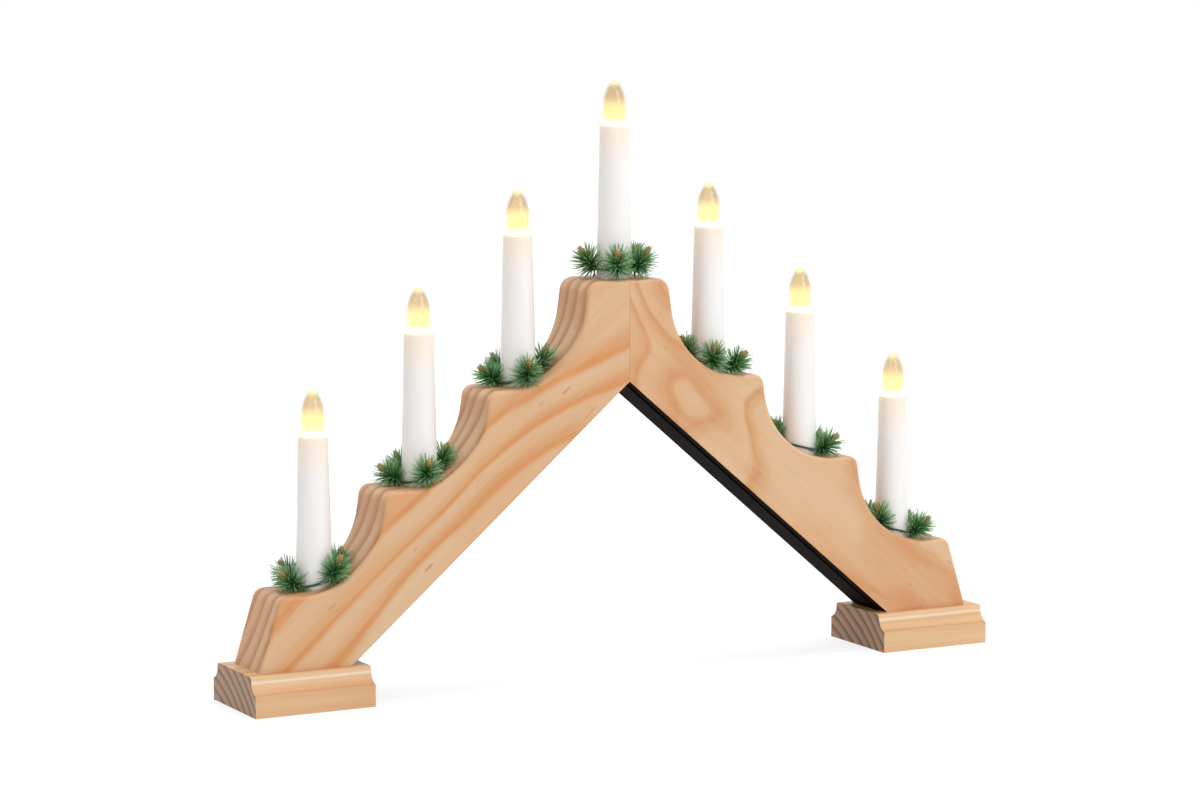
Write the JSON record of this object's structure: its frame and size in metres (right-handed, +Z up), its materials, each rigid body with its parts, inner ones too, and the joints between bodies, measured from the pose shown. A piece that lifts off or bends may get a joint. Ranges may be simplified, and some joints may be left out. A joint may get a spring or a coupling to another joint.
{
  "type": "candle arch",
  "caption": "Stepped wooden candle arch with electric candles, clear pointed bulbs, pine-needle wreaths and moulded feet.",
  "frame": {"origin": "on the table, under the middle of the arch", "axes": "+X along the arch to the right, -Y out of its front, +Z up"},
  "size_m": [0.4, 0.0512, 0.288],
  "materials": {
    "pine_arm": "clear satin lacquer over knot-free pine",
    "pine_foot": "clear satin lacquer over pine moulding",
    "black_strip": "dull black",
    "candle_plastic": "smooth white",
    "holder_plastic": "ivory moulding",
    "cap_metal": "nickel plated",
    "needles": "translucent green film",
    "wreath_wire": "dark green",
    "lead_sheath": "dark green sheath",
    "screw_steel": "zinc plated",
    "beech_dowel": "bare beech",
    "grommet_rubber": "dull black",
    "contact_brass": "bright",
    "clear_bulb": "clear moulded plastic, lit from inside",
    "warm_diode": "lit lens"
  },
  "bodies": {
    "arch": {"arm_left": "pine_arm", "arm_right": "pine_arm", "candle_sleeve_1": "candle_plastic", "candle_sleeve_2": "candle_plastic", "candle_sleeve_3": "candle_plastic", "candle_sleeve_4": "candle_plastic", "candle_sleeve_5": "candle_plastic", "candle_sleeve_6": "candle_plastic", "candle_sleeve_7": "candle_plastic", "cord_grommet": "grommet_rubber", "cover_strip_left": "black_strip", "cover_strip_right": "black_strip", "foot_left": "pine_foot", "foot_right": "pine_foot", "foot_screws": "screw_steel", "lampholder_1": "holder_plastic", "lampholder_2": "holder_plastic", "lampholder_3": "holder_plastic", "lampholder_4": "holder_plastic", "lampholder_5": "holder_plastic", "lampholder_6": "holder_plastic", "lampholder_7": "holder_plastic", "mitre_dowels": "beech_dowel", "socket_contacts": "contact_brass", "wiring_loom": "lead_sheath"},
    "bulb_1": {"bulb_cap_1": "cap_metal", "bulb_globe_1": "clear_bulb", "bulb_diode_1": "warm_diode"},
    "wreath_1": {"wreath_ring_1": "wreath_wire", "wreath_needles_1": "needles"},
    "bulb_2": {"bulb_cap_2": "cap_metal", "bulb_globe_2": "clear_bulb", "bulb_diode_2": "warm_diode"},
    "wreath_2": {"wreath_ring_2": "wreath_wire", "wreath_needles_2": "needles"},
    "bulb_3": {"bulb_cap_3": "cap_metal", "bulb_globe_3": "clear_bulb", "bulb_diode_3": "warm_diode"},
    "wreath_3": {"wreath_ring_3": "wreath_wire", "wreath_needles_3": "needles"},
    "bulb_4": {"bulb_cap_4": "cap_metal", "bulb_globe_4": "clear_bulb", "bulb_diode_4": "warm_diode"},
    "wreath_4": {"wreath_ring_4": "wreath_wire", "wreath_needles_4": "needles"},
    "bulb_5": {"bulb_cap_5": "cap_metal", "bulb_globe_5": "clear_bulb", "bulb_diode_5": "warm_diode"},
    "wreath_5": {"wreath_ring_5": "wreath_wire", "wreath_needles_5": "needles"},
    "bulb_6": {"bulb_cap_6": "cap_metal", "bulb_globe_6": "clear_bulb", "bulb_diode_6": "warm_diode"},
    "wreath_6": {"wreath_ring_6": "wreath_wire", "wreath_needles_6": "needles"},
    "bulb_7": {"bulb_cap_7": "cap_metal", "bulb_globe_7": "clear_bulb", "bulb_diode_7": "warm_diode"},
    "wreath_7": {"wreath_ring_7": "wreath_wire", "wreath_needles_7": "needles"}
  },
  "joints": [
    {"name": "bulb_1_lift", "type": "slide", "parent": "arch", "child": "bulb_1", "axis": [0, 0, 1], "range_m": [0, 0.02]},
    {"name": "wreath_1_lift", "type": "slide", "parent": "arch", "child": "wreath_1", "axis": [0, 0, 1], "range_m": [0, 0.1]},
    {"name": "bulb_2_lift", "type": "slide", "parent": "arch", "child": "bulb_2", "axis": [0, 0, 1], "range_m": [0, 0.02]},
    {"name": "wreath_2_lift", "type": "slide", "parent": "arch", "child": "wreath_2", "axis": [0, 0, 1], "range_m": [0, 0.1]},
    {"name": "bulb_3_lift", "type": "slide", "parent": "arch", "child": "bulb_3", "axis": [0, 0, 1], "range_m": [0, 0.02]},
    {"name": "wreath_3_lift", "type": "slide", "parent": "arch", "child": "wreath_3", "axis": [0, 0, 1], "range_m": [0, 0.1]},
    {"name": "bulb_4_lift", "type": "slide", "parent": "arch", "child": "bulb_4", "axis": [0, 0, 1], "range_m": [0, 0.02]},
    {"name": "wreath_4_lift", "type": "slide", "parent": "arch", "child": "wreath_4", "axis": [0, 0, 1], "range_m": [0, 0.1]},
    {"name": "bulb_5_lift", "type": "slide", "parent": "arch", "child": "bulb_5", "axis": [0, 0, 1], "range_m": [0, 0.02]},
    {"name": "wreath_5_lift", "type": "slide", "parent": "arch", "child": "wreath_5", "axis": [0, 0, 1], "range_m": [0, 0.1]},
    {"name": "bulb_6_lift", "type": "slide", "parent": "arch", "child": "bulb_6", "axis": [0, 0, 1], "range_m": [0, 0.02]},
    {"name": "wreath_6_lift", "type": "slide", "parent": "arch", "child": "wreath_6", "axis": [0, 0, 1], "range_m": [0, 0.1]},
    {"name": "bulb_7_lift", "type": "slide", "parent": "arch", "child": "bulb_7", "axis": [0, 0, 1], "range_m": [0, 0.02]},
    {"name": "wreath_7_lift", "type": "slide", "parent": "arch", "child": "wreath_7", "axis": [0, 0, 1], "range_m": [0, 0.1]}
  ]
}
